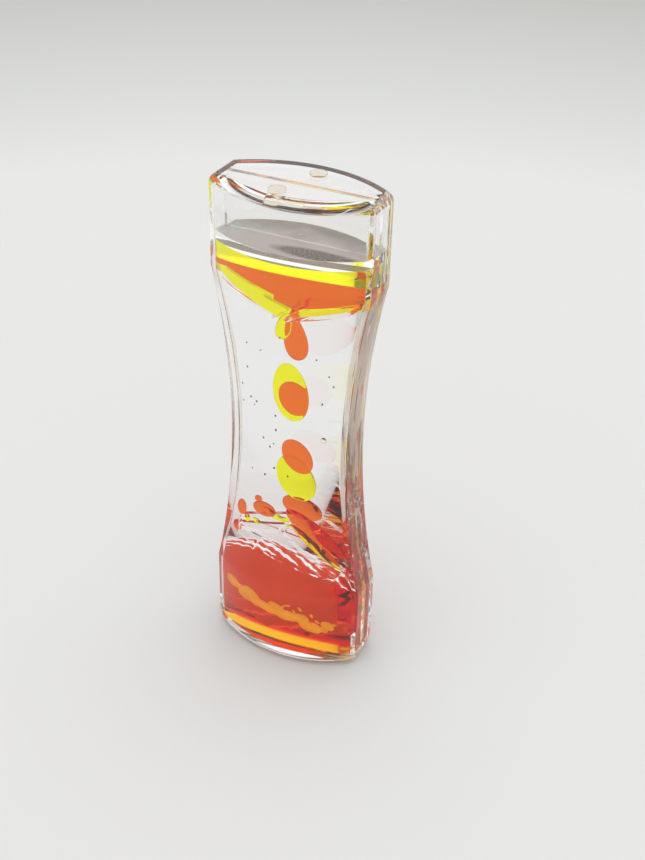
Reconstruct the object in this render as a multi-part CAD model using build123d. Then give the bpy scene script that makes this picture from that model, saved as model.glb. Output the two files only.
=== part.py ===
from build123d import *
from functools import cache
import math
import os

# A liquid motion timer: a clear waisted body made of two half shells, which hold a
# flat divider between them. Each half is a sealed chamber of clear oil under a little
# air, with a V funnel above, a ramp roof below, and a heavier coloured liquid that falls
# through in drops: yellow in the front chamber, orange in the rear one.
# Lengths are in millimetres. X is the width, -Y is the front, Z is up from the base.

# The body's outside
height = 135.0
cap_width = 42.4
cap_depth = 25.3
waist_width = 32.9
waist_depth = 16.4
end_face_width = 10.3
cap_height = 23.5
rim_round = 2.8
corner_round = 0.7

# The walls, the divider and how they fit
wall = 2.5
end_plate = 3.0
inner_corner_round = 0.6
divider_thickness = 1.5
rebate_depth = 0.9
fit = 0.05

# The funnels above and the ramp roofs below, the same in both chambers
ramp_thickness = 1.2
nose_share = 0.42
nozzle_gap = 1.9
side_gap = 2.8
funnel_depth = 27.1
funnel_left_rise = 6.0
funnel_right_rise = 3.3
roof_gap = 1.6
roof_peak_height = 40.6
roof_left_fall = 4.2
roof_right_fall = 10.6

# The filling plugs in the top
plug_diameter = 4.2
plug_depth = 2.4
plug_inset = 6.5
plug_place = {"front": -2.5, "rear": 1.5}

# The air under the ceiling, and the liquid levels: above the nozzle in the funnels, and
# below the roofs' lowest point
air_depth = {"front": 11.0, "rear": 11.4}
level_over_nozzle = {"front": 13.6, "rear": 7.5}
level_under_roof = {"front": 19.3, "rear": 2.6}
drop_clearance = 0.35

# The drops that are free to fall: place across and half width
drop_places = {
    "front_drop_1": (0.7, 4.75),
    "front_drop_2": (2.2, 5.6),
    "rear_drop_1": (-0.3, 3.4),
    "rear_drop_2": (0.6, 4.1),
    "rear_drop_3": (1.6, 4.9),
}
# How far each has come and half its height, as shares of the way from nozzle to roof peak
drop_shares = {
    "front_drop_1": (0.356, 0.1291),
    "front_drop_2": (0.757, 0.1073),
    "rear_drop_1": (0.415, 0.0770),
    "rear_drop_2": (0.692, 0.0778),
    "rear_drop_3": (0.910, 0.0622),
}
# How far they can still move up and down, as shares of the same way
fall_shares = {"front": (0.0778, 0.07), "rear": (0.0467, 0.0124)}
drop_edge_share = 0.42

# The drops that still hang at the funnels: length as a share of that way, width, place
# across, and place in the depth of the chamber
hanging_shares = {"front": 0.096, "rear": 0.205}
hanging_width = {"front": 3.8, "rear": 5.4}
hanging_place = {"front": 0.2, "rear": 0.0}
hanging_depth_share = 0.5
bulb_share = 1.25
round_share = 0.552
neck_width = 1.1

# The liquid that lies on the roofs: which ramp, place along it, half length and height
rider_sizes = {
    "front_roof_bead": ("left", 6.4, 2.6, 1.7),
    "front_roof_film": ("right", 9.6, 5.8, 1.3),
    "rear_roof_bead": ("left", 7.6, 3.0, 2.9),
    "rear_roof_slide": ("right", 9.6, 5.8, 3.4),
}

# Worked out from the sizes above
half_height = height / 2
waist_sagitta = (cap_width - waist_width) / 2
waist_half_span = half_height - cap_height
waist_radius = (waist_half_span**2 + waist_sagitta**2) / (2 * waist_sagitta)
depth_sagitta = (cap_depth - waist_depth) / 2
depth_radius = (waist_half_span**2 + depth_sagitta**2) / (2 * depth_sagitta)
waist_stations = 9
funnel_nozzle_height = height - end_plate - funnel_depth
roof_low = roof_peak_height - max(roof_left_fall, roof_right_fall) - ramp_thickness
way_down = funnel_nozzle_height - roof_peak_height
chamber_face = divider_thickness / 2 + fit
sides = {"front": -1, "rear": 1}
ends = {"left": -1, "right": 1}


def waist_offset(z, radius):
    """How much narrower the body is at a height than at its caps, on one side."""
    rise = abs(z - half_height)
    if rise >= waist_half_span:
        return 0
    middle = radius - math.sqrt(radius**2 - waist_half_span**2)
    return middle - (radius - math.sqrt(radius**2 - rise**2))


def body_sizes(z, inset):
    """Half width, half depth at the middle and half depth at the ends, at a height."""
    half_width = cap_width / 2 - waist_offset(z, waist_radius)
    half_depth = cap_depth / 2 - waist_offset(z, depth_radius)
    half_end = end_face_width / 2
    bulge = half_depth - half_end
    arc_radius = (half_width**2 + bulge**2) / (2 * bulge)
    centre = half_depth - arc_radius
    inner_width = half_width - inset
    inner_end = centre + math.sqrt((arc_radius - inset) ** 2 - inner_width**2)
    return inner_width, half_depth - inset, inner_end


def half_section(z, inset, rounding, face):
    """One half of the lens-shaped section at a height, cut off flat at the face plane."""
    half_width, half_depth, half_end = body_sizes(z, inset)
    front = ThreePointArc((-half_width, -half_end), (0, -half_depth), (half_width, -half_end))
    left = Line((-half_width, -face), (-half_width, -half_end))
    right = Line((half_width, -half_end), (half_width, -face))
    back = Line((half_width, -face), (-half_width, -face))
    outline = make_face([left, front, right, back])
    corners = outline.vertices().sort_by(Axis.Y)[:2]
    outline = fillet(corners, rounding)
    return Pos(0, 0, z) * outline


def half_body(bottom, top, inset, rounding, face, rim=0):
    """The front half of the body between two heights, inset from the outside all round."""
    shoulders = (cap_height, height - cap_height)
    caps = []
    for start, stop in ((bottom, shoulders[0]), (shoulders[1], top)):
        caps.append(extrude(half_section(start, inset, rounding, face), stop - start))
    if rim:
        caps[0] = fillet(rim_edges(caps[0], bottom), rim)
        caps[1] = fillet(rim_edges(caps[1], top), rim)
    sections = []
    for station in range(waist_stations):
        z = shoulders[0] + (shoulders[1] - shoulders[0]) * station / (waist_stations - 1)
        sections.append(half_section(z, inset, rounding, face))
    return caps[0] + loft(sections) + caps[1]


def rim_edges(cap, z):
    """The outer edges of a cap's flat end, without the straight one on the seam."""
    rim = cap.edges().filter_by_position(Axis.Z, z, z)
    return ShapeList(e for e in rim if abs(e.center().Y) > fit)


def on_side(shape, side):
    """A shape built in the front chamber, or turned into the rear one by mirroring."""
    return shape if side == "front" else mirror(shape, Plane.XZ)


def waisted_plate(margin, thickness):
    """A flat plate with the chamber's outline, wider than it by the margin all round."""
    bottom = end_plate - margin
    top = height - end_plate + margin
    half_width = cap_width / 2 - wall + margin
    waist_half = half_width - waist_sagitta
    shoulders = (cap_height, height - cap_height)
    outline = make_face([
        Line((-half_width, bottom), (half_width, bottom)),
        Line((half_width, bottom), (half_width, shoulders[0])),
        ThreePointArc((half_width, shoulders[0]), (waist_half, half_height), (half_width, shoulders[1])),
        Line((half_width, shoulders[1]), (half_width, top)),
        Line((half_width, top), (-half_width, top)),
        Line((-half_width, top), (-half_width, shoulders[1])),
        ThreePointArc((-half_width, shoulders[1]), (-waist_half, half_height), (-half_width, shoulders[0])),
        Line((-half_width, shoulders[0]), (-half_width, bottom)),
    ])
    return extrude(Plane.XZ * outline, thickness / 2, both=True)


@cache
def chamber(clearance=0):
    """The space inside the front half, down to the divider's face."""
    return half_body(
        end_plate + clearance,
        height - end_plate - clearance,
        wall + clearance,
        inner_corner_round,
        chamber_face - fit + clearance,
    )


def plug_cylinder(side, radius, depth):
    """A round plug's space, from the top of the body down."""
    place = Pos(plug_place[side], -plug_inset, height - depth)
    return place * Cylinder(radius, depth, align=(Align.CENTER, Align.CENTER, Align.MIN))


def half_shell(side):
    """One clear half shell, with its rebate for the divider and its filling hole."""
    shell = half_body(0, height, 0, corner_round, 0, rim_round)
    shell -= half_body(end_plate, height - end_plate, wall, inner_corner_round, 0)
    shell -= waisted_plate(rebate_depth, divider_thickness + 2 * fit)
    shell -= plug_cylinder(side, plug_diameter / 2 + fit, plug_depth + fit)
    return on_side(shell, side)


def divider():
    """The flat plate between the two chambers, held in the shells' rebates."""
    return waisted_plate(rebate_depth - fit, divider_thickness)


def outer_reach(z, end):
    """Where a ramp stops short of the side wall, which leaves the side gap."""
    half_width = cap_width / 2 - waist_offset(z, waist_radius) - wall
    return ends[end] * (half_width - side_gap)


def ramp_line(level, end):
    """The ends of a ramp's top edge, from the middle outwards."""
    if level == "upper":
        start = (ends[end] * nozzle_gap / 2, funnel_nozzle_height)
        rise = funnel_left_rise if end == "left" else funnel_right_rise
        outer_z = funnel_nozzle_height + rise
    else:
        start = (ends[end] * roof_gap / 2, roof_peak_height)
        fall = roof_left_fall if end == "left" else roof_right_fall
        outer_z = roof_peak_height - fall
    return start, (outer_reach(outer_z, end), outer_z)


def through_chamber(outline, clearance=fit):
    """An outline drawn on the divider's face, carried through the front chamber."""
    block = extrude(Plane.XZ * outline, cap_depth / 2)
    return block & chamber(clearance)


def over_ramp(level, end, along, lift):
    """A place given along a ramp from its middle end, and square to its top edge."""
    (x0, z0), (x1, z1) = ramp_line(level, end)
    length = math.hypot(x1 - x0, z1 - z0)
    run, climb = (x1 - x0) / length, (z1 - z0) / length
    return x0 + run * along - ends[end] * climb * lift, z0 + climb * along + ends[end] * run * lift


def ramp_outline(level, end, grow=0):
    """A ramp seen from the front, its ends square to its slope, grown all round."""
    length = math.dist(*ramp_line(level, end))
    reach = ((-grow, grow), (length + grow, grow))
    under = ((length + grow, -ramp_thickness - grow), (-grow, -ramp_thickness - grow))
    corners = [over_ramp(level, end, along, lift) for along, lift in reach + under]
    return make_face(Polyline(corners, close=True))


def ramp(side, level, end):
    """One sloping plate that spans the chamber from the divider to the shell."""
    outline = ramp_outline(level, end)
    (x0, z0), _ = ramp_line(level, end)
    nose = outline.vertices().sort_by_distance((x0, z0))[:2]
    outline = fillet(nose, ramp_thickness * nose_share)
    return on_side(through_chamber(outline), side)


def plug(side):
    """The plug that closes the filling hole, flush with the top."""
    return on_side(plug_cylinder(side, plug_diameter / 2, plug_depth), side)


def upper_pool_outline(side, gap):
    """The coloured liquid that lies in a funnel, with its neck through the nozzle."""
    level = funnel_nozzle_height + level_over_nozzle[side]
    reach = cap_width
    (lx, lz), (lx1, lz1) = ramp_line("upper", "left")
    (rx, rz), (rx1, rz1) = ramp_line("upper", "right")
    place = hanging_place[side]
    half_neck = neck_width / 2 + gap
    neck_bottom = funnel_nozzle_height - ramp_thickness - gap
    points = [
        (-reach, level + gap),
        (-reach, lz1 - gap),
        (lx1, lz1 + fit - gap),
        (lx, lz + fit - gap),
        (place - half_neck, funnel_nozzle_height - gap),
        (place - half_neck, neck_bottom),
        (place + half_neck, neck_bottom),
        (place + half_neck, funnel_nozzle_height - gap),
        (rx, rz + fit - gap),
        (rx1, rz1 + fit - gap),
        (reach, rz1 - gap),
        (reach, level + gap),
    ]
    return make_face(Polyline(points, close=True))


def lower_pool_outline(side, gap):
    """The coloured liquid that has gathered at the bottom."""
    level = roof_low - level_under_roof[side] + gap
    points = [(-cap_width, 0), (cap_width, 0), (cap_width, level), (-cap_width, level)]
    return make_face(Polyline(points, close=True))


def hanging_drop(side, gap=0):
    """A drop that still hangs at the nozzle: a thin neck that swells into a round end."""
    half_neck = neck_width / 2 + gap
    half_bulb = hanging_width[side] / 2 + gap
    top = funnel_nozzle_height - ramp_thickness - fit + gap
    bottom = top - hanging_shares[side] * way_down - 2 * gap
    middle = bottom + min(half_bulb * bulb_share, (top - bottom) / 2)
    bend = (top + middle) / 2
    lower_bend = middle + (bottom - middle) * round_share
    profile = make_face([
        Line((0, top), (half_neck, top)),
        Bezier((half_neck, top), (half_neck, bend), (half_bulb, bend), (half_bulb, middle)),
        Bezier((half_bulb, middle), (half_bulb, lower_bend), (half_bulb * round_share, bottom), (0, bottom)),
        Line((0, bottom), (0, top)),
    ])
    x = hanging_place[side]
    y = (chamber_face + chamber_depth_at(x, middle)) * hanging_depth_share
    return on_side(Pos(x, -y, 0) * revolve(Plane.XZ * profile, Axis.Z), side)


def rider_outline(name, gap):
    """Liquid that lies on a roof: flat underneath along the ramp, domed above."""
    end, place, half_length, rise = rider_sizes[name]
    rest = 2 * fit - gap / 2
    half_base = half_length + 4 * gap
    inner = over_ramp("lower", end, place - half_base, rest)
    outer = over_ramp("lower", end, place + half_base, rest)
    crown = over_ramp("lower", end, place, rise + gap)
    return make_face([Line(inner, outer), ThreePointArc(outer, crown, inner)])


def drop_heights(name):
    """The height of a free drop's middle, and half its own height."""
    fallen, half_tall = drop_shares[name]
    return funnel_nozzle_height - fallen * way_down, half_tall * way_down


def drop_levels(name):
    """The highest and the lowest place of a free drop's middle."""
    z, _ = drop_heights(name)
    up, down = fall_shares[name.split("_")[0]]
    return z + up * way_down, z - down * way_down


def chamber_depth_at(x, z):
    """How far the chamber reaches from the divider at a place in its outline."""
    half_width, half_depth, half_end = body_sizes(z, wall)
    bulge = half_depth - half_end
    arc_radius = (half_width**2 + bulge**2) / (2 * bulge)
    return half_depth - arc_radius + math.sqrt(arc_radius**2 - x**2)


def free_drop(name):
    """A free drop, flattened between the divider and the shell, with a round edge."""
    x, half_width = drop_places[name]
    z, half_tall = drop_heights(name)
    highest, lowest = drop_levels(name)
    reach = min(
        chamber_depth_at(across, level)
        for across in (x - half_width, x, x + half_width)
        for level in (lowest - half_tall, half_height, highest + half_tall)
    )
    thickness = reach - chamber_face - 2 * drop_clearance
    flat = extrude(Plane.XZ * (Pos(x, z) * Ellipse(half_width, half_tall)), thickness)
    narrow, long = sorted((half_width, half_tall))
    flat = fillet(flat.edges(), min(thickness, 2 * narrow**2 / long) * drop_edge_share)
    return on_side(Pos(0, -(chamber_face + drop_clearance), 0) * flat, name.split("_")[0])


def fall_channel(side):
    """The way that a chamber's free drops take through the oil."""
    channel = []
    for name, (x, half_width) in drop_places.items():
        if not name.startswith(side):
            continue
        _, half_tall = drop_heights(name)
        top, bottom = drop_levels(name)
        wide = 2 * (half_width + drop_clearance)
        middle = Pos(x, (top + bottom) / 2) * Rectangle(wide, top - bottom)
        for level in (top, bottom):
            round_end = Ellipse(half_width + drop_clearance, half_tall + drop_clearance)
            middle += Pos(x, level) * round_end
        channel.append(extrude(Plane.XZ * middle, cap_depth / 2))
    return channel


def oil(side):
    """The clear oil in the rest of a chamber, round the drops' way down and over the pool."""
    filling = chamber(2 * fit)
    surface = height - end_plate - air_depth[side]
    up_from = (Align.CENTER, Align.CENTER, Align.MIN)
    filling -= Pos(0, 0, surface) * Box(cap_width, cap_depth, height, align=up_from)
    for level in ("upper", "lower"):
        for end in ends:
            filling -= extrude(Plane.XZ * ramp_outline(level, end, fit), cap_depth / 2)
    filling -= on_side(hanging_drop(side, fit), side)
    outlines = [upper_pool_outline(side, fit), lower_pool_outline(side, fit)]
    outlines += [rider_outline(name, 2 * fit) for name in rider_sizes if name.startswith(side)]
    for outline in outlines:
        filling -= extrude(Plane.XZ * outline, cap_depth / 2)
    for way in fall_channel(side):
        filling -= way
    pieces = filling.solids().sort_by(SortBy.VOLUME)
    main, top = sorted(pieces[-2:], key=lambda piece: piece.center().Z)
    return on_side(main, side), on_side(top, side)


def upper_pool(side):
    """The coloured liquid still to fall."""
    return on_side(through_chamber(upper_pool_outline(side, 0), 2 * fit), side)


def lower_pool(side):
    """The coloured liquid that has fallen."""
    return on_side(through_chamber(lower_pool_outline(side, 0), 2 * fit), side)


def roof_rider(name):
    """Liquid on its way down a roof."""
    return on_side(through_chamber(rider_outline(name, 0), 2 * fit), name.split("_")[0])


parts = {"centre_divider": divider()}
for side in sides:
    parts[side + "_shell"] = half_shell(side)
    parts[side + "_fill_plug"] = plug(side)
    parts[side + "_upper_pool"] = upper_pool(side)
    parts[side + "_lower_pool"] = lower_pool(side)
    parts[side + "_hanging_drop"] = hanging_drop(side)
    parts[side + "_oil"], parts[side + "_top_oil"] = oil(side)
    for end in ends:
        parts[f"{side}_{end}_funnel_ramp"] = ramp(side, "upper", end)
        parts[f"{side}_{end}_roof_ramp"] = ramp(side, "lower", end)
for name in rider_sizes:
    parts[name] = roof_rider(name)
for name in drop_places:
    parts[name] = free_drop(name)

os.makedirs("parts", exist_ok=True)
for name, shape in parts.items():
    export_step(shape, f"parts/{name}.step")
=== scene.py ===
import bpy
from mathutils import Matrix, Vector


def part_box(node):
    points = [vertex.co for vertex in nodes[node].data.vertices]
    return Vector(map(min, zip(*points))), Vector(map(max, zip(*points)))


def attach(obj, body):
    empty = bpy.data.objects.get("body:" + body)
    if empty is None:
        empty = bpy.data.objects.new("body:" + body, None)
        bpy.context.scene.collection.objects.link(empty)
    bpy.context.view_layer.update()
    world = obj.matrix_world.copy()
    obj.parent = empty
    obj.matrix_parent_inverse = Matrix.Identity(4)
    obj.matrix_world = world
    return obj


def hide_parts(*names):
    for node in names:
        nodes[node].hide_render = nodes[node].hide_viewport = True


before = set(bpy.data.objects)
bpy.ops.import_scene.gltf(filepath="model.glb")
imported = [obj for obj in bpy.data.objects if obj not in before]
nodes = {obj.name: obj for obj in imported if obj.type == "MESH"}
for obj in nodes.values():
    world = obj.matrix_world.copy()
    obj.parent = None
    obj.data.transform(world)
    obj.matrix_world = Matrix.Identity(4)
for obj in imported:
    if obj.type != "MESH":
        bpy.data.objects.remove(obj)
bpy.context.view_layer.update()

import math
import random

import bmesh
import bpy
from mathutils import Matrix, Vector

# A liquid motion timer: a clear waisted body with two chambers of clear oil under a little air,
# yellow liquid in the front one and orange liquid in the rear one. Sizes and places are in
# millimetres, and each mesh is turned to metres when it is finished. Patterns in materials go by
# metres. The front is at negative y.
mm = 0.001
way = {"front": -1, "rear": 1}

# The body
height = 135.0
cap_width = 42.4
cap_depth = 25.3
waist_width = 32.9
waist_depth = 16.4
end_face_width = 10.3
cap_height = 23.5
rim_round = 2.8
corner_round = 0.7
least_corner = 0.05
inner_corner_round = 0.6
wall = 2.5
end_plate = 3.0
divider_thickness = 1.5

# Gaps that keep faces apart: at the seam, and between liquid and what holds it
seam_gap = 0.02
liquid_gap = 0.1

# Heights inside: the oil's surface, the liquid in the funnels and the liquid at the bottom
oil_top = {"front": 121.0, "rear": 120.6}
upper_level = {"front": 118.5, "rear": 112.4}
lower_level = {"front": 9.5, "rear": 26.2}

# Each funnel ramp's floor as x and z, from the nozzle out, and a zone of heights that holds it
nozzle_half_width = 0.95
funnel_height = 104.9
funnel_zone = (funnel_height - 3, funnel_height + 9)
funnel_ramps = {
    "left": ((-nozzle_half_width, funnel_height), (-14.35, 110.9)),
    "right": ((nozzle_half_width, funnel_height), (13.76, 108.2)),
}

# How strongly light bends at each kind of surface, as one index over the other
plastic_in_air = 1.57
plastic_in_oil = 1.07
plastic_in_liquid = 1.17
oil_in_air = 1.47
oil_on_liquid = 1.13
ramp_in_oil = 1.05
drop_in_oil = 1.06
strand_in_oil = 1.03
speck_in_oil = 1.3
bubble_in_oil = 1.35
glue_in_plastic = 1.04
unbent = 1.0

# Colours
white = (1, 1, 1)
yellow_tint = (1.0, 1.0, 0.0)
orange_tint = (1.0, 0.19, 0.012)
# Painted reflection: a beige-brown tint on the end faces, standing in for the liquids' colour seen in the end
# walls
end_reflection_tints = ((0.76, 0.66, 0.59), (0.68, 0.57, 0.49))


# Materials

# A Mix node's colour sockets, which share their names with its number sockets
mix_share, mix_first, mix_second, mix_result = 0, 6, 7, 2


def mix_colours(tree, share, first, second):
    """Two colours mixed by a socket's value. Each is a colour or a socket."""
    node = tree.nodes.new("ShaderNodeMix")
    node.data_type = "RGBA"
    tree.links.new(share, node.inputs[mix_share])
    for place, given in ((mix_first, first), (mix_second, second)):
        if isinstance(given, bpy.types.NodeSocket):
            tree.links.new(given, node.inputs[place])
        else:
            node.inputs[place].default_value = (*given, 1)
    return node.outputs[mix_result]


def colour_ramp(tree, value, *stops):
    """Colours read off a socket's value by stops, each a position and a colour."""
    node = tree.nodes.new("ShaderNodeValToRGB")
    elements = node.color_ramp.elements
    while len(elements) < len(stops):
        elements.new(0.5)
    for element, (position, colour) in zip(elements, stops):
        element.position = position
        element.color = (*colour, 1)
    tree.links.new(value, node.inputs["Fac"])
    return node.outputs["Color"]


def unevenness():
    """A node group: slow waves and a fine mottle through the object, as a height and a mask."""
    group = bpy.data.node_groups.new("unevenness", "ShaderNodeTree")
    for label, scale in (("Wave Scale", 60.0), ("Mottle Scale", 900.0)):
        socket = group.interface.new_socket(label, in_out="INPUT", socket_type="NodeSocketFloat")
        socket.default_value = scale
    for label in ("Height", "Mask"):
        group.interface.new_socket(label, in_out="OUTPUT", socket_type="NodeSocketFloat")
    given = group.nodes.new("NodeGroupInput")
    result = group.nodes.new("NodeGroupOutput")
    place = group.nodes.new("ShaderNodeTexCoord")
    for scale, detail, output in (("Wave Scale", 1.0, "Height"), ("Mottle Scale", 3.0, "Mask")):
        noise = group.nodes.new("ShaderNodeTexNoise")
        noise.inputs["Detail"].default_value = detail
        group.links.new(place.outputs["Object"], noise.inputs["Vector"])
        group.links.new(given.outputs[scale], noise.inputs["Scale"])
        group.links.new(noise.outputs["Fac"], result.inputs[output])
    return group


uneven = unevenness()


def clear(name, index, tint=white, deep=None, bump=0.0, roughness=(0.0, 0.0), scales=(60, 900),
          alpha=1.0):
    """A see-through material: its tint mottled towards a deeper one, its surface a little wavy."""
    material = bpy.data.materials.new(name)
    material.use_nodes = True
    tree = material.node_tree
    shader = tree.nodes["Principled BSDF"].inputs
    shader["IOR"].default_value = index
    shader["Transmission Weight"].default_value = 1.0
    shader["Specular IOR Level"].default_value = 0.3
    shader["Alpha"].default_value = alpha
    effect = tree.nodes.new("ShaderNodeGroup")
    effect.node_tree = uneven
    effect.inputs["Wave Scale"].default_value = scales[0]
    effect.inputs["Mottle Scale"].default_value = scales[1]
    mask = effect.outputs["Mask"]
    tree.links.new(mix_colours(tree, mask, tint, deep or tint), shader["Base Color"])
    dullness = tree.nodes.new("ShaderNodeMapRange")
    dullness.inputs["To Min"].default_value = roughness[0]
    dullness.inputs["To Max"].default_value = roughness[1]
    tree.links.new(mask, dullness.inputs["Value"])
    tree.links.new(dullness.outputs["Result"], shader["Roughness"])
    if bump:
        relief = tree.nodes.new("ShaderNodeBump")
        relief.inputs["Strength"].default_value = bump
        relief.inputs["Distance"].default_value = mm
        tree.links.new(effect.outputs["Height"], relief.inputs["Height"])
        tree.links.new(relief.outputs["Normal"], shader["Normal"])
    return material


def oil_surface_painted_reflection():
    """The oil's surface under the air: a grey-brown painted reflection, with a darker patch of fine bubbles
    in a painted dark reflection.
    """
    material = clear("oil_surface_with_painted_reflection", oil_in_air, bump=0.15, roughness=(0.1, 0.35), scales=(300, 260))
    tree = material.node_tree
    new, join = tree.nodes.new, tree.links.new
    shader = tree.nodes["Principled BSDF"].inputs
    shader["Transmission Weight"].default_value = 0.12
    place = new("ShaderNodeTexCoord").outputs["Object"]

    # Speckles of fine bubbles, darkened as painted reflection
    bubbles = new("ShaderNodeTexVoronoi")
    bubbles.inputs["Scale"].default_value = 1400
    join(place, bubbles.inputs["Vector"])
    grain = colour_ramp(tree, bubbles.outputs["Distance"],
                        (0.0, (0.75, 0.75, 0.72)), (0.35, (0.16, 0.15, 0.125)))

    # The painted reflection is lighter at the front and browner towards the rear, where it stands in for the
    # coloured liquids
    film = new("ShaderNodeTexNoise")
    film.inputs["Scale"].default_value = 110
    join(place, film.inputs["Vector"])
    axes = new("ShaderNodeSeparateXYZ")
    join(place, axes.inputs["Vector"])
    rearward = new("ShaderNodeMath")
    rearward.operation = "MULTIPLY_ADD"
    rearward.inputs[1].default_value = 45
    join(axes.outputs["Y"], rearward.inputs[0])
    join(film.outputs["Fac"], rearward.inputs[2])
    painted_tones = colour_ramp(tree, rearward.outputs["Value"],
                        (0.45, (0.82, 0.81, 0.77)), (0.85, (0.5, 0.45, 0.36)))

    # Where the darker patch of painted reflection lies
    patch = new("ShaderNodeMapping")
    patch.inputs["Location"].default_value = (-0.62, 2.1, 0)
    patch.inputs["Scale"].default_value = (75, 330, 0)
    join(place, patch.inputs["Vector"])
    spread = new("ShaderNodeTexGradient")
    spread.gradient_type = "SPHERICAL"
    join(patch.outputs["Vector"], spread.inputs["Vector"])
    edge = new("ShaderNodeMath")
    edge.operation = "MULTIPLY"
    edge.use_clamp = True
    edge.inputs[1].default_value = 3
    join(spread.outputs["Fac"], edge.inputs[0])
    join(mix_colours(tree, edge.outputs["Value"], painted_tones, grain), shader["Base Color"])
    return material


def yellow_with_painted_glow():
    """Yellow liquid in fine drops, with a faint orange glow painted in as light, so that the strands don't
    stay dark.
    """
    material = clear("strand_yellow_painted_glow", strand_in_oil, (1.0, 0.8, 0.03), (1.0, 0.5, 0.01), bump=0.3,
                     scales=(160, 240))
    shader = material.node_tree.nodes["Principled BSDF"].inputs
    shader["Transmission Weight"].default_value = 0.55
    # Painted light: a weak orange emission, though the strands are no lamp
    shader["Emission Color"].default_value = (1.0, 0.42, 0.01, 1)
    shader["Emission Strength"].default_value = 0.13
    return material


# The plastic, named after what touches it
polished = clear("polished_plastic", plastic_in_air, bump=0.03, roughness=(0.0, 0.02))
# The end faces carry the painted reflection tint, in air and in oil
end_reflection_plastic = clear("plastic_end_painted_reflection", plastic_in_air, *end_reflection_tints, bump=0.03)
end_reflection_plastic_in_oil = clear("plastic_end_painted_reflection_in_oil", plastic_in_oil, *end_reflection_tints, bump=0.03)
wall_in_air = clear("wall_in_air", plastic_in_air, bump=0.03)
wall_in_oil = clear("wall_in_oil", plastic_in_oil)
wall_in_liquid = clear("wall_in_liquid", plastic_in_liquid)
seam_face = clear("seam_face", plastic_in_air, bump=0.05)
ramp_clear = clear("ramp_plastic", ramp_in_oil)
plug_glue = clear("glued_plug", glue_in_plastic, (0.97, 0.93, 0.84), (0.9, 0.82, 0.66),
                  roughness=(0.05, 0.3), scales=(60, 1500))

# The oil shows only where it meets air or coloured liquid
oil_unseen = clear("oil_touching_plastic", unbent, alpha=0.0)
liquid_surface = clear("oil_on_liquid", oil_on_liquid)
oil_surface = oil_surface_painted_reflection()
speck_dark = clear("dark_speck", speck_in_oil, (0.35, 0.34, 0.33), (0.15, 0.14, 0.14))
bubble_clear = clear("air_bubble", bubble_in_oil)

# The coloured liquids
yellow = clear("yellow_liquid", unbent, yellow_tint, (0.95, 0.93, 0.0))
orange = clear("orange_liquid", unbent, orange_tint, (0.95, 0.15, 0.01))
yellow_drop = clear("yellow_drop", drop_in_oil, yellow_tint, (0.96, 0.96, 0.0))
orange_drop = clear("orange_drop", drop_in_oil, orange_tint, (0.97, 0.17, 0.01))
deep_yellow = clear("deep_yellow_liquid", unbent, (0.98, 0.8, 0.0), (0.95, 0.6, 0.0), scales=(60, 120))
deep_orange = clear("deep_orange_liquid", unbent, (0.97, 0.075, 0.0), (0.66, 0.025, 0.0), scales=(60, 90))
strand_yellow_painted_glow = yellow_with_painted_glow()
liquids = {"front": yellow, "rear": orange}
deep_liquids = {"front": deep_yellow, "rear": deep_orange}
drops = {"front": yellow_drop, "rear": orange_drop}


def paint(obj, *materials):
    """Gives an object these materials in its slots."""
    obj.data.materials.clear()
    for material in materials:
        obj.data.materials.append(material)


# Meshes

def piece(name, bm, materials, body="housing", smooth=35.0):
    """Turns a finished bmesh in millimetres into an object in metres that rides on a body."""
    bmesh.ops.scale(bm, vec=(mm, mm, mm), verts=bm.verts)
    bmesh.ops.recalc_face_normals(bm, faces=bm.faces)
    for face in bm.faces:
        face.smooth = True
    for edge in bm.edges:
        edge.smooth = edge.is_manifold and edge.calc_face_angle(0) < math.radians(smooth)
    mesh = bpy.data.meshes.new(name)
    for material in materials:
        mesh.materials.append(material)
    bm.to_mesh(mesh)
    bm.free()
    obj = bpy.data.objects.new(name, mesh)
    bpy.context.scene.collection.objects.link(obj)
    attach(obj, body)
    return obj


def steps(start, stop, count):
    """Evenly spaced numbers, both ends in."""
    return [start + (stop - start) * step / count for step in range(count + 1)]


def spaced(marks, spacing):
    """Heights that hold every mark, with others between them at about this spacing."""
    rows = set()
    for low, high in zip(marks, marks[1:]):
        rows.update(steps(low, high, max(1, round((high - low) / spacing))))
    return sorted(rows)


def new_verts(geom):
    """The vertices in what an extrusion made."""
    return [item for item in geom if isinstance(item, bmesh.types.BMVert)]


def narrowing(z, sagitta):
    """How much the waist takes off one side at a height."""
    span = height / 2 - cap_height
    rise = abs(z - height / 2)
    if rise >= span:
        return 0
    radius = (span**2 + sagitta**2) / (2 * sagitta)
    return sagitta - radius + math.sqrt(radius**2 - rise**2)


def section_at(z, inset, rounding):
    """The half section at a height: half width, front arc, corner arc and how far they swing."""
    half_width = cap_width / 2 - narrowing(z, (cap_width - waist_width) / 2)
    half_depth = cap_depth / 2 - narrowing(z, (cap_depth - waist_depth) / 2)
    bulge = half_depth - end_face_width / 2
    radius = (half_width**2 + bulge**2) / (2 * bulge) - inset
    centre = half_depth - inset - radius
    half_width -= inset
    corner_x = half_width - rounding
    corner_y = centre + math.sqrt((radius - rounding) ** 2 - corner_x**2)
    swing = math.asin(corner_x / (radius - rounding))
    return half_width, radius, centre, corner_x, corner_y, rounding, swing


def inside_at(z):
    """The chamber at a height: its half width, and its front arc's radius and centre."""
    return section_at(z, wall, inner_corner_round)[:3]


def reach_at(x, z):
    """How far the chamber reaches from the seam at a place."""
    radius, centre = inside_at(z)[1:]
    return centre + math.sqrt(radius**2 - x**2)


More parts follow.
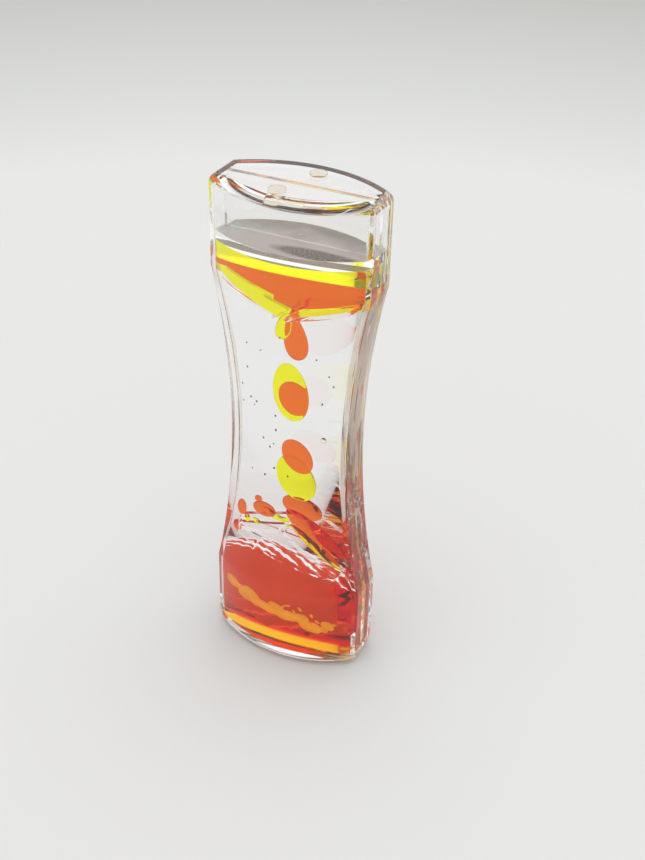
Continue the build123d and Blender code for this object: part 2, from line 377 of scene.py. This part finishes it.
def round_section(section, column, start):
    """A place on the half section: x, and how far it is from the seam."""
    part, end, share = column
    half_width, radius, centre, corner_x, corner_y, rounding, swing = section
    if part == "end":
        return end * half_width, start + (corner_y - start) * share
    if part == "corner":
        angle = math.pi / 2 + (swing - math.pi / 2) * share
        return end * (corner_x + rounding * math.sin(angle)), corner_y + rounding * math.cos(angle)
    return radius * math.sin(swing * share), centre + radius * math.cos(swing * share)


# The clear shells

# Columns round the half section, and rows up it
end_shares = (0, 0.04, 0.5, 1)
corner_steps = 4
front_steps = 40
columns = [("end", -1, share) for share in end_shares]
columns += [("corner", -1, step / corner_steps) for step in range(1, corner_steps)]
columns += [("front", 0, 2 * step / front_steps - 1) for step in range(front_steps + 1)]
columns += [("corner", 1, step / corner_steps) for step in reversed(range(1, corner_steps))]
columns += [("end", 1, share) for share in reversed(end_shares)]
rim_steps = 10
cap_steps = 3
half_waist_steps = 34
inner_spacing = 1.5
divider_spacing = 3

# The shell's material slots
outside, air, oil, liquid, seam, end_reflection_outside, end_reflection_in_oil = range(7)
shell_plastics = [polished, wall_in_air, wall_in_oil, wall_in_liquid, seam_face, end_reflection_plastic, end_reflection_plastic_in_oil]
sideways = 0.9


def outer_rows():
    """Heights up the outside with the inset that the rounded rims have there."""
    rows = []
    for step in range(rim_steps + 1):
        angle = math.pi / 2 * step / rim_steps
        rows.append((rim_round * (1 - math.cos(angle)), rim_round * (1 - math.sin(angle))))
    rows += [(z, 0) for z in steps(rim_round, cap_height, cap_steps)[1:]]
    rows += [(z, 0) for z in steps(cap_height, height / 2, half_waist_steps)[1:]]
    return rows + [(height - z, inset) for z, inset in reversed(rows[:-1])]


def inner_rows(side):
    """Heights up the inside, with one at each level of the oil and the liquid."""
    marks = [end_plate, lower_level[side], cap_height, upper_level[side], oil_top[side], height - end_plate]
    return [(z, wall) for z in spaced(sorted(marks), inner_spacing)]


def wrapped(bm, rows, rounding, sign):
    """A grid bent round the half section at each row, and its vertices by row and column."""
    grid = bmesh.ops.create_grid(bm, x_segments=len(columns) - 1, y_segments=len(rows) - 1, size=1)
    place = {}
    for vert in grid["verts"]:
        i = round((vert.co.x + 1) / 2 * (len(columns) - 1))
        j = round((vert.co.y + 1) / 2 * (len(rows) - 1))
        place[j, i] = vert
    for j, (z, inset) in enumerate(rows):
        corner = max(rounding - inset, least_corner) if rounding == corner_round else rounding
        section = section_at(z, inset, corner)
        for i, column in enumerate(columns):
            x, y = round_section(section, column, seam_gap)
            place[j, i].co = (x, sign * y, z)
    return place


def funnel_floor(x):
    """The height of the funnel's floor at a place across."""
    inner, outer = funnel_ramps["left" if x < 0 else "right"]
    share = min(1, max(0, (abs(x) - abs(inner[0])) / (abs(outer[0]) - abs(inner[0]))))
    return inner[1] + (outer[1] - inner[1]) * share


def filling(side, x, z):
    """What lies against the inside at a place, as the slot of the plastic that touches it."""
    if z > oil_top[side]:
        return air
    if z < lower_level[side] or funnel_floor(x) < z < upper_level[side]:
        return liquid
    return oil


def cut_along_funnel(bm, inner_faces):
    """Cuts the inside along the funnel's floor, where the liquid's edge is, and gives its faces."""
    for inner, outer in funnel_ramps.values():
        across = Vector((outer[0] - inner[0], 0, outer[1] - inner[1])).cross(Vector((0, 1, 0)))
        near = [face for face in inner_faces
                if face.is_valid and funnel_zone[0] < face.calc_center_median().z < funnel_zone[1]]
        edges = list({edge for face in near for edge in face.edges})
        verts = list({vert for face in near for vert in face.verts})
        made = bmesh.ops.bisect_plane(bm, geom=near + edges + verts, plane_co=(inner[0], 0, inner[1]),
                                      plane_no=across)["geom"]
        kept = {face for face in inner_faces if face.is_valid}
        inner_faces = list(kept | {item for item in made if isinstance(item, bmesh.types.BMFace)})
    return inner_faces


def half_shell(side):
    """A half shell: outside, inside and the seam face round the chamber's mouth."""
    bm = bmesh.new()
    rows = outer_rows()
    skin = wrapped(bm, rows, corner_round, way[side])
    outer_faces = set(bm.faces)
    chamber_rows = inner_rows(side)
    chamber = wrapped(bm, chamber_rows, inner_corner_round, way[side])
    inner_faces = [face for face in bm.faces if face not in outer_faces]
    last = len(columns) - 1
    for place, top in ((skin, len(rows) - 1), (chamber, len(chamber_rows) - 1)):
        for j in (0, top):
            closing = bm.edges.new((place[j, 0], place[j, last]))
            ring = [bm.edges.get((place[j, i], place[j, i + 1])) for i in range(last)]
            lid = bmesh.ops.contextual_create(bm, geom=ring + [closing])["faces"]
            if place is chamber:
                inner_faces += lid
    for face in cut_along_funnel(bm, inner_faces):
        centre = face.calc_center_median()
        face.material_index = filling(side, centre.x, centre.z)
    mouth = [edge for edge in bm.edges if edge.is_boundary]
    for item in bmesh.ops.triangle_fill(bm, edges=mouth, use_beauty=True)["geom"]:
        if isinstance(item, bmesh.types.BMFace):
            item.material_index = seam
    bm.normal_update()
    # Faces on the ends of the waist take the painted reflection tint
    end_reflection_for = {outside: end_reflection_outside, oil: end_reflection_in_oil}
    for face in bm.faces:
        z = face.calc_center_median().z
        if abs(face.normal.x) > sideways and cap_height < z < height - cap_height:
            face.material_index = end_reflection_for.get(face.material_index, face.material_index)
    return piece(side + "_clear_shell", bm, shell_plastics)


for side in way:
    shell = half_shell(side)
    smoothing = shell.modifiers.new("even_shading", "WEIGHTED_NORMAL")
    smoothing.keep_sharp = True
    smoothing.weight = 60
    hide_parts(side + "_shell")


# The divider and the plugs

def divider_plate():
    """The flat plate between the chambers, from wall to wall."""
    bm = bmesh.new()
    marks = {*oil_top.values(), *upper_level.values(), *lower_level.values(), cap_height, height - cap_height,
             end_plate + seam_gap, height - end_plate - seam_gap}
    rows = spaced(sorted(marks), divider_spacing)
    grid = bmesh.ops.create_grid(bm, x_segments=2, y_segments=len(rows) - 1, size=1)
    for vert in grid["verts"]:
        z = rows[round((vert.co.y + 1) / 2 * (len(rows) - 1))]
        half_width = cap_width / 2 - narrowing(z, (cap_width - waist_width) / 2) - wall - seam_gap
        vert.co = (vert.co.x * half_width, -divider_thickness / 2, z)
    made = bmesh.ops.extrude_face_region(bm, geom=bm.faces[:])["geom"]
    bmesh.ops.translate(bm, vec=(0, divider_thickness, 0), verts=new_verts(made))
    for face in bm.faces:
        centre = face.calc_center_median()
        side = "front" if centre.y < 0 else "rear"
        face.material_index = filling(side, centre.x, centre.z) - air
    return piece("divider_plate", bm, [wall_in_air, wall_in_oil, wall_in_liquid])


plate = divider_plate()
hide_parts("centre_divider")

plug_radius = 2.1
plug_thickness = 2.2
plug_bevel = 0.3
plug_middle_depth = 1.25
plug_across = {"front": -2.5, "rear": 1.5}
plug_from_seam = 6.5
level_edge = 0.1


def sealed_plug(side):
    """A plug just under the top surface, in the glue that sealed it."""
    bm = bmesh.new()
    bmesh.ops.create_cone(bm, cap_ends=True, segments=48, radius1=plug_radius, radius2=plug_radius,
                          depth=plug_thickness)
    rims = [edge for edge in bm.edges if abs(edge.verts[0].co.z - edge.verts[1].co.z) < level_edge]
    bmesh.ops.bevel(bm, geom=rims, offset=plug_bevel, offset_type="OFFSET", segments=2, affect="EDGES",
                    profile=0.5, material=-1)
    place = (plug_across[side], way[side] * plug_from_seam, height - plug_middle_depth)
    bmesh.ops.translate(bm, vec=place, verts=bm.verts)
    return piece(side + "_glued_plug", bm, [plug_glue])


for side in way:
    glued = sealed_plug(side)
    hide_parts(side + "_fill_plug")


# The nodes that keep the shape that the frame gives them

same_height = 0.01 * mm
upright = 0.9

for side in way:
    paint(nodes[side + "_oil"], oil_unseen)
    obj = nodes[side + "_top_oil"]
    paint(obj, oil_unseen, liquid_surface, oil_surface)
    heights = [face.center.z for face in obj.data.polygons]
    low, high = min(heights), max(heights)
    for face in obj.data.polygons:
        if face.center.z < low + same_height and face.normal.z < -upright:
            face.material_index = 1
        elif face.center.z > high - same_height and face.normal.z > upright:
            face.material_index = 2
for name, obj in nodes.items():
    side = name.split("_")[0]
    if "ramp" in name:
        paint(obj, ramp_clear)
    elif "lower_pool" in name:
        paint(obj, deep_liquids[side])
    elif "pool" in name:
        paint(obj, liquids[side])
    elif "hanging" in name:
        paint(obj, drops[side])


# Drops and the liquid on the roofs

round_smooth = 60
drop_half_depth = 1.5


def blob(bm, centre, half, tilt=0.0, taper=0.0):
    """A rounded body of liquid: half sizes across, in depth and in height, turned in its plane."""
    made = bmesh.ops.create_uvsphere(bm, u_segments=40, v_segments=24, radius=1)["verts"]
    for vert in made:
        vert.co.x *= 1 + taper * vert.co.z
        vert.co.y *= 1 + taper * vert.co.z
    bmesh.ops.scale(bm, vec=half, verts=made)
    bmesh.ops.rotate(bm, cent=(0, 0, 0), matrix=Matrix.Rotation(math.radians(tilt), 3, "Y"), verts=made)
    bmesh.ops.translate(bm, vec=centre, verts=made)


def liquid_piece(name, side, blobs, replaced, body="housing"):
    """One piece of coloured liquid made of rounded bodies, in the place of a frame node."""
    bm = bmesh.new()
    for centre, half, *turns in blobs:
        blob(bm, centre, half, *turns)
    obj = piece(name, bm, [drops[side]], body, smooth=round_smooth)
    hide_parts(replaced)


# Each free drop: half width, half height, tilt, taper, and how far it is from its node's middle
free_drops = {
    "front_drop_1": (4.56, 8.4, -5.4, -0.08, 0, 0),
    "front_drop_2": (5.03, 6.88, -23.4, -0.05, 0, 0),
    "rear_drop_1": (3.27, 4.9, -9, 0, -0.2, 0),
    "rear_drop_2": (3.66, 5.29, -23.5, 0, 0, 0),
    "rear_drop_3": (5.2, 3.47, 16.6, 0, 0.5, -1.9),
}
for name, (half_width, half_height, tilt, taper, across, lift) in free_drops.items():
    low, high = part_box(name)
    middle = [(a + b) / 2 / mm for a, b in zip(low, high)]
    centre = (middle[0] + across, middle[1], middle[2] + lift)
    shape = (centre, (half_width, drop_half_depth, half_height), tilt, taper)
    liquid_piece(name + "_round", name.split("_")[0], [shape], name, name)

# Liquid that keeps its place: name, side, node, and each rounded body's centre, half sizes, tilt
# and taper
still_liquids = (
    ("rear_roof_blobs", "rear", "rear_roof_bead", [
        ((-7.6, 2.8, 40.8), (3.0, 1.5, 2.2), 8),
        ((-9.2, 2.8, 43.6), (1.0, 0.9, 1.0)),
        ((-13.7, 3.0, 38.9), (1.3, 1.2, 2.5)),
        ((-14.9, 3.0, 32.2), (1.1, 1.0, 1.7)),
    ]),
    ("rear_roof_stream", "rear", "rear_roof_slide", [
        ((5.6, 3.0, 36.9), (9.4, 1.7, 2.9), 38),
        ((12.6, 3.2, 33.6), (2.2, 1.5, 2.4)),
    ]),
    ("front_roof_beads", "front", "front_roof_bead", [
        ((-4.0, -2.0, 42.4), (3.2, 0.9, 1.0), 24),
        ((-1.2, -2.0, 41.6), (1.8, 0.9, 0.7)),
        ((-10.9, -3.6, 39.2), (0.9, 0.8, 1.2)),
        ((-8.0, -4.2, 39.6), (1.3, 0.8, 0.7), 20),
        ((1.0, -4.6, 41.4), (0.5, 0.5, 0.5)),
    ]),
    ("front_roof_stream", "front", "front_roof_film", [
        ((8.4, -3.4, 36.0), (8.6, 2.0, 0.75), 38),
    ]),
    ("rear_drop_forming", "rear", "rear_hanging_drop", [
        ((-0.55, 3.9, 96.7), (2.45, 2.0, 7.1), -7, -0.42),
    ]),
    ("front_drop_forming", "front", "front_hanging_drop", [
        ((-0.7, -3.4, 100.9), (1.75, 1.2, 3.9), 14, -0.2),
    ]),
)
for name, side, replaced, blobs in still_liquids:
    liquid_piece(name, side, blobs, replaced)

base_half_width = 14.4
base_middle_height = 31.1
base_slope = 0.226
base_thickness = 0.5


def roof_base(side):
    """The thin plate that closes a roof underneath, from one outer end to the other."""
    bm = bmesh.new()
    grid = bmesh.ops.create_grid(bm, x_segments=24, y_segments=1, size=1)["verts"]
    for vert in grid:
        x = vert.co.x * base_half_width
        z = base_middle_height - x * base_slope
        near = divider_thickness / 2 + liquid_gap
        from_seam = near if vert.co.y < 0 else reach_at(x, z) - liquid_gap
        vert.co = (x, way[side] * from_seam, z)
    made = bmesh.ops.extrude_face_region(bm, geom=bm.faces[:])["geom"]
    bmesh.ops.translate(bm, vec=(0, 0, base_thickness), verts=new_verts(made))
    obj = piece(side + "_roof_base", bm, [ramp_clear])


for side in way:
    roof_base(side)


# Specks and a bubble in the oil

speck_places = (
    (-10.5, 93.2), (-7.2, 91.8), (-2.0, 97.0), (7.2, 92.8), (-10.6, 86.2), (10.4, 88.8),
    (11.6, 86.2), (-12.3, 80.7), (-12.1, 75.7), (-9.9, 77.5), (-8.3, 76.6), (-8.9, 75.5),
    (9.0, 80.7), (-3.5, 73.7), (-3.4, 69.5), (-7.0, 65.9), (-5.2, 63.7), (-4.1, 65.0),
    (-9.7, 55.8), (-6.5, 54.8), (-3.9, 57.6), (-0.1, 56.3),
)
speck_y = -3.6
speck_sizes = (0.2, 0.34)
speck_stretch = (0.9, 1.4)
speck_scatter = 0.3

# Specks nearer the middle than this would be in the drops' way. They hang in front of it, moved
# along the photo's line of sight, so that they are seen at the same place.
drops_half_way = 7.5
clear_of_drops = (0.95, -2.0, 1.1)
bubble_place = (9.5, -3.4, 70.0)
bubble_half = (0.75, 0.6, 0.85)


def specks():
    """Tiny dark specks that hang in the front chamber's oil, out of the drops' way."""
    chance = random.Random(7)
    bm = bmesh.new()
    for x, z in speck_places:
        across, deep, up = clear_of_drops if abs(x) < drops_half_way else (0, 0, 0)
        size = chance.uniform(*speck_sizes)
        made = bmesh.ops.create_icosphere(bm, subdivisions=2, radius=size)["verts"]
        bmesh.ops.scale(bm, vec=(1, 0.8, chance.uniform(*speck_stretch)), verts=made)
        y = speck_y + deep + chance.uniform(-speck_scatter, speck_scatter)
        bmesh.ops.translate(bm, vec=(x + across, y, z + up), verts=made)
    obj = piece("oil_specks", bm, [speck_dark], smooth=round_smooth)


def bubble():
    """The one larger bubble."""
    bm = bmesh.new()
    blob(bm, bubble_place, bubble_half)
    obj = piece("oil_bubble", bm, [bubble_clear], smooth=round_smooth)


specks()
bubble()


# The liquid at the bottom

# The crest of the orange heap: places across and their heights
rear_crest = ((-17, 24.1), (-14, 26.0), (-10.5, 27.1), (-6.5, 27.4), (-2, 26.9), (2, 25.9), (6, 24.5),
              (10, 23.0), (17, 20.8))
scallop_width = 2.5
scallop_rise = 0.55
scallop_drift = 0.5
drift_pace = 1.3
ripple_rise = 0.2
ripple_pace = 2.1

# The yellow surface: a slow swell and sharper ridges, and how fast each goes across and in depth
swell_rise = 0.8
swell_paces = (0.55, 0.9)
ridge_rise = 0.6
ridge_paces = (0.9, -0.6)

# What the tops are laid out over, the skin's underside and top above them, and the mesh's fineness
top_half_width = 18
top_half_depth = 3
skin_low = 0.02
skin_high = 0.08
level_cuts = 48
level_smooth = 50
downward = 0.3


def between(places, x):
    """A height read off a list of places across and their heights."""
    for (x0, z0), (x1, z1) in zip(places, places[1:]):
        if x <= x1:
            share = max(0, (x - x0) / (x1 - x0))
            return z0 + (z1 - z0) * share
    return places[-1][1]


def rear_top(x, y):
    """A heap of drops that haven't merged yet, which leaves a scalloped edge."""
    drifted = x + scallop_drift * math.sin(drift_pace * x)
    scallops = scallop_rise * abs(math.sin(math.pi * drifted / scallop_width))
    return between(rear_crest, x) + scallops + ripple_rise * math.sin(ripple_pace * y + x)


def front_top(x, y):
    """A lower, gently uneven surface."""
    swell = swell_rise * math.sin(swell_paces[0] * x + swell_paces[1] * y)
    ridges = ridge_rise * abs(math.sin(ridge_paces[0] * x + ridge_paces[1] * y))
    return lower_level["front"] + swell + ridges


def level_body(side, low, high):
    """A body that fills a chamber, less a gap, between a lower and an upper height."""
    bm = bmesh.new()
    bmesh.ops.create_cube(bm, size=2)
    bmesh.ops.subdivide_edges(bm, edges=bm.edges[:], cuts=level_cuts, use_grid_fill=True)
    near = divider_thickness / 2 + liquid_gap
    for vert in bm.verts:
        across, deep, up = vert.co
        place = (across * top_half_width, near + top_half_depth * (deep + 1))
        z = low(*place) + (high(*place) - low(*place)) * (up + 1) / 2
        x = across * (inside_at(z)[0] - liquid_gap)
        reach = reach_at(x, z) - liquid_gap
        vert.co = (x, way[side] * (near + (reach - near) * (deep + 1) / 2), z)
    return bm


def gathered(side, top):
    """The liquid at the bottom, and the skin of oil on it that mirrors at a low angle."""
    body = level_body(side, lambda x, y: end_plate + liquid_gap, top)
    obj = piece(side + "_gathered_liquid", body, [deep_liquids[side]], smooth=level_smooth)
    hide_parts(side + "_lower_pool")
    skin = level_body(side, lambda x, y: top(x, y) + skin_low, lambda x, y: top(x, y) + skin_high)
    obj = piece(side + "_oil_skin", skin, [oil_unseen, liquid_surface], smooth=level_smooth)
    for face in obj.data.polygons:
        if face.normal.z < -downward:
            face.material_index = 1


gathered("rear", rear_top)
gathered("front", front_top)

# Strands: the run of places across, the height in the middle, the fall per millimetre, how far
# each drop may be off it, and the ranges of its half sizes and tilt
strand_span = (-14.5, 13, 17)
strand_height, strand_fall = 14.6, 0.21
strand_scatter = (-1.1, 1.1)
strand_half_widths = (1.8, 3.0)
strand_half_depth = 0.7
strand_half_heights = (0.8, 1.7)
strand_tilts = (10, 40)
strand_from_wall = 1.2
stray_span = (0, 14, 9)
stray_height, stray_fall = 15.5, 0.25
stray_scatter = (-1.4, 1.6)
stray_half_widths = (0.5, 1.6)
stray_half_depth, stray_half_height = 0.5, 0.3
stray_tilts = (-60, 60)
stray_y = -4.5


def strands():
    """Yellow drops that have run together along the front wall and haven't sunk in yet."""
    chance = random.Random(11)
    bm = bmesh.new()
    for x in steps(*strand_span):
        z = strand_height - strand_fall * x + chance.uniform(*strand_scatter)
        half = (chance.uniform(*strand_half_widths), strand_half_depth, chance.uniform(*strand_half_heights))
        blob(bm, (x, strand_from_wall - reach_at(x, z), z), half, chance.uniform(*strand_tilts))
    for x in steps(*stray_span):
        z = stray_height - stray_fall * x + chance.uniform(*stray_scatter)
        half = (chance.uniform(*stray_half_widths), stray_half_depth, stray_half_height)
        blob(bm, (x, stray_y, z), half, chance.uniform(*stray_tilts))
    obj = piece("yellow_strands", bm, [strand_yellow_painted_glow], smooth=round_smooth)


strands()


# Floor, light and camera

floor_radius = 4000
floor_drop = 0.1
backdrop = (0.52, 0.53, 0.51)
light_below = (0.5, 0.48, 0.46)


def floor_with_painted_light():
    """A pale matt floor with a painted pool of light: lighter round the timer, darker further out."""
    material = bpy.data.materials.new("pale_floor")
    material.use_nodes = True
    tree = material.node_tree
    shader = tree.nodes["Principled BSDF"].inputs
    shader["Roughness"].default_value = 0.7
    shader["Specular IOR Level"].default_value = 0.2
    far = tree.nodes.new("ShaderNodeVectorMath")
    far.operation = "LENGTH"
    tree.links.new(tree.nodes.new("ShaderNodeTexCoord").outputs["Object"], far.inputs[0])
    # Painted light: the tones fall off with distance from the middle
    painted_tones = colour_ramp(
        tree, far.outputs["Value"],
        (0.0, (0.79, 0.79, 0.775)), (0.36, (0.78, 0.78, 0.77)), (0.48, (0.68, 0.69, 0.675)),
        (0.72, (0.535, 0.54, 0.515)), (1.0, (0.5, 0.5, 0.48)),
    )
    tree.links.new(painted_tones, shader["Base Color"])
    return material


def pale_floor():
    """A round floor just under the base."""
    bm = bmesh.new()
    bmesh.ops.create_circle(bm, cap_ends=True, segments=64, radius=floor_radius * mm)
    mesh = bpy.data.meshes.new("floor")
    bm.to_mesh(mesh)
    bm.free()
    mesh.transform(Matrix.Translation((0, 0, -floor_drop * mm)))
    floor = bpy.data.objects.new("floor", mesh)
    bpy.context.scene.collection.objects.link(floor)
    paint(floor, floor_with_painted_light())


def studio_light():
    """Soft light from all round, dimmer from below, and a grey backdrop behind the floor."""
    world = bpy.data.worlds.new("studio")
    bpy.context.scene.world = world
    world.use_nodes = True
    tree = world.node_tree
    parts = tree.nodes.new("ShaderNodeSeparateXYZ")
    tree.links.new(tree.nodes.new("ShaderNodeTexCoord").outputs["Generated"], parts.inputs["Vector"])
    light = colour_ramp(tree, parts.outputs["Z"], (0.0, light_below), (0.45, white))
    seen = tree.nodes.new("ShaderNodeLightPath").outputs["Is Camera Ray"]
    background = tree.nodes["Background"].inputs
    tree.links.new(mix_colours(tree, seen, light, backdrop), background["Color"])
    background["Strength"].default_value = 1.08


# The camera's place and turn, as fitted to the body's outline in the photo
camera_place = (123.30, -248.58, 246.76)
camera_lens = 54.08
yaw, pitch, roll = 0.4370, 0.5736, -0.0254


def photo_camera():
    """The camera that sees the timer as the photo does."""
    forward = Vector((-math.sin(yaw) * math.cos(pitch), math.cos(yaw) * math.cos(pitch), -math.sin(pitch)))
    level = Vector((math.cos(yaw), math.sin(yaw), 0))
    steep = forward.cross(level)
    right = level * math.cos(roll) + steep * math.sin(roll)
    down = steep * math.cos(roll) - level * math.sin(roll)
    data = bpy.data.cameras.new("camera")
    data.lens = camera_lens
    data.sensor_width = 36
    data.clip_start = 0.01
    camera = bpy.data.objects.new("camera", data)
    bpy.context.scene.collection.objects.link(camera)
    turn = Matrix((right, -down, -forward)).transposed()
    camera.matrix_world = Matrix.Translation(Vector(camera_place) * mm) @ turn.to_4x4()
    bpy.context.scene.camera = camera


pale_floor()
studio_light()
photo_camera()

scene = bpy.context.scene
scene.view_settings.view_transform = "Standard"
scene.cycles.use_denoising = True
scene.cycles.max_bounces = 32
scene.cycles.transmission_bounces = 32
scene.cycles.glossy_bounces = 16
scene.cycles.transparent_max_bounces = 64
